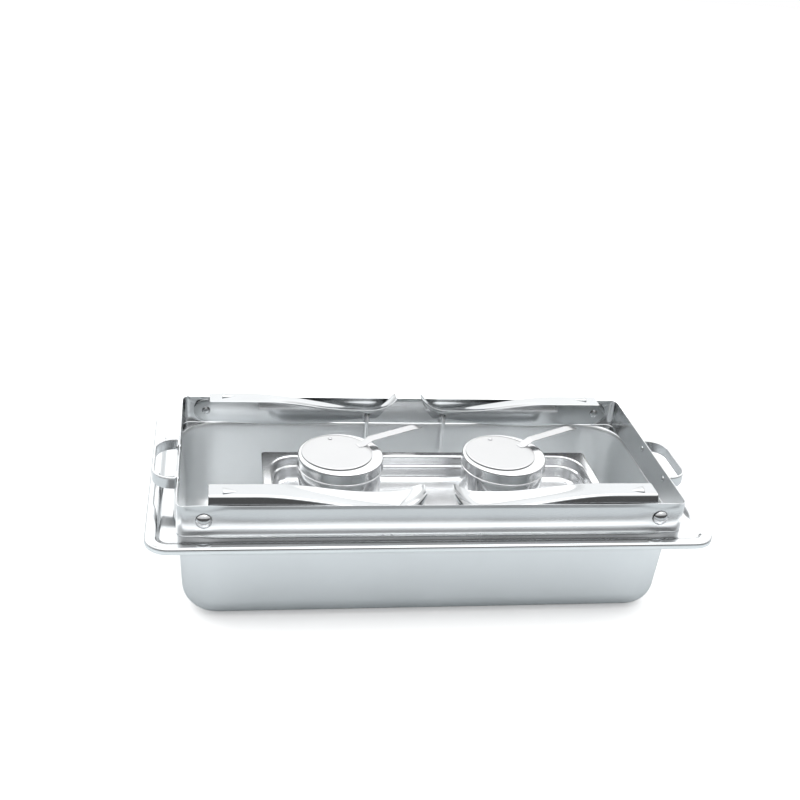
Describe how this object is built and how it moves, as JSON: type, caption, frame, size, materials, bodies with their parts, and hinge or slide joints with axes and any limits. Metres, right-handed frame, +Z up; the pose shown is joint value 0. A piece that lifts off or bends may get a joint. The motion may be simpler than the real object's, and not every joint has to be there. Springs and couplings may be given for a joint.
{
  "type": "chafing dish food warmer",
  "caption": "Folding stainless buffet warmer packed for storage: frame upside down in the water pan rim, legs folded in, fuel tray and holders inside.",
  "frame": {"origin": "middle of the water pan's flat underside", "axes": "+X to the right along the length, -Y to the front, +Z up"},
  "size_m": [0.58, 0.296, 0.152],
  "materials": {
    "satin_steel": "satin, drawn stainless sheet",
    "polished_steel": "mirror polished stainless sheet",
    "rivet_steel": "polished",
    "wire_steel": "bright drawn wire",
    "tray_steel": "bright satin, drawn stainless sheet",
    "holder_steel": "bright polished sheet",
    "disc_steel": "fine satin sheet"
  },
  "bodies": {
    "pan": {"water_pan": "satin_steel"},
    "frame": {"frame_band": "polished_steel", "handle_left": "polished_steel", "handle_right": "polished_steel", "handle_rivets_left": "rivet_steel", "handle_rivets_right": "rivet_steel", "pivot_rivets": "rivet_steel"},
    "leg_bl": {"leg_back_left": "polished_steel"},
    "leg_br": {"leg_back_right": "polished_steel"},
    "leg_fl": {"leg_front_left": "polished_steel"},
    "leg_fr": {"leg_front_right": "polished_steel"},
    "wire_l": {"cross_wire_left": "wire_steel"},
    "wire_r": {"cross_wire_right": "wire_steel"},
    "tray": {"fuel_tray": "tray_steel"},
    "cup_left": {"cup_left": "holder_steel"},
    "lid_left": {"lid_left": "holder_steel", "damper_rivet_left": "rivet_steel"},
    "damper_left": {"damper_left": "disc_steel"},
    "cup_right": {"cup_right": "holder_steel"},
    "lid_right": {"lid_right": "holder_steel", "damper_rivet_right": "rivet_steel"},
    "damper_right": {"damper_right": "disc_steel"}
  },
  "joints": [
    {"name": "frame_lift", "type": "slide", "parent": "pan", "child": "frame", "axis": [0, 0, 1], "range_m": [0, 0.15]},
    {"name": "fold_back_left", "type": "hinge", "parent": "frame", "child": "leg_bl", "pos_m": [-0.233, 0, 0.1235], "axis": [0, -1, 0], "range_deg": [0, 88]},
    {"name": "fold_back_right", "type": "hinge", "parent": "frame", "child": "leg_br", "pos_m": [0.233, 0, 0.1235], "axis": [0, 1, 0], "range_deg": [0, 88]},
    {"name": "fold_front_left", "type": "hinge", "parent": "frame", "child": "leg_fl", "pos_m": [-0.233, 0, 0.1235], "axis": [0, -1, 0], "range_deg": [0, 88]},
    {"name": "fold_front_right", "type": "hinge", "parent": "frame", "child": "leg_fr", "pos_m": [0.233, 0, 0.1235], "axis": [0, 1, 0], "range_deg": [0, 88]},
    {"name": "wire_swing_left", "type": "hinge", "parent": "leg_bl", "child": "wire_l", "pos_m": [-0.046, 0, 0.118], "axis": [0, 1, 0], "range_deg": [0, 88]},
    {"name": "wire_swing_right", "type": "hinge", "parent": "leg_br", "child": "wire_r", "pos_m": [0.046, 0, 0.118], "axis": [0, -1, 0], "range_deg": [0, 88]},
    {"name": "tray_lift", "type": "slide", "parent": "frame", "child": "tray", "axis": [0, 0, 1], "range_m": [0, 0.306]},
    {"name": "holder_lift_left", "type": "slide", "parent": "tray", "child": "cup_left", "axis": [0, 0, 1], "range_m": [0, 0.1]},
    {"name": "lid_lift_left", "type": "slide", "parent": "cup_left", "child": "lid_left", "axis": [0, 0, 1], "range_m": [0, 0.06]},
    {"name": "damper_swing_left", "type": "hinge", "parent": "lid_left", "child": "damper_left", "pos_m": [-0.09755, 0.032, 0.132], "axis": [0, 0, -1], "range_deg": [0, 70]},
    {"name": "holder_lift_right", "type": "slide", "parent": "tray", "child": "cup_right", "axis": [0, 0, 1], "range_m": [0, 0.1]},
    {"name": "lid_lift_right", "type": "slide", "parent": "cup_right", "child": "lid_right", "axis": [0, 0, 1], "range_m": [0, 0.06]},
    {"name": "damper_swing_right", "type": "hinge", "parent": "lid_right", "child": "damper_right", "pos_m": [0.08395, 0.032, 0.132], "axis": [0, 0, -1], "range_deg": [0, 70]}
  ],
  "couplings": [
    {"joint": "fold_back_left", "follows": "tray_lift", "rad_per_m": 5},
    {"joint": "fold_back_right", "follows": "tray_lift", "rad_per_m": 5},
    {"joint": "fold_front_left", "follows": "tray_lift", "rad_per_m": 5},
    {"joint": "fold_front_right", "follows": "tray_lift", "rad_per_m": 5},
    {"joint": "wire_swing_left", "follows": "tray_lift", "rad_per_m": 5},
    {"joint": "wire_swing_right", "follows": "tray_lift", "rad_per_m": 5}
  ]
}
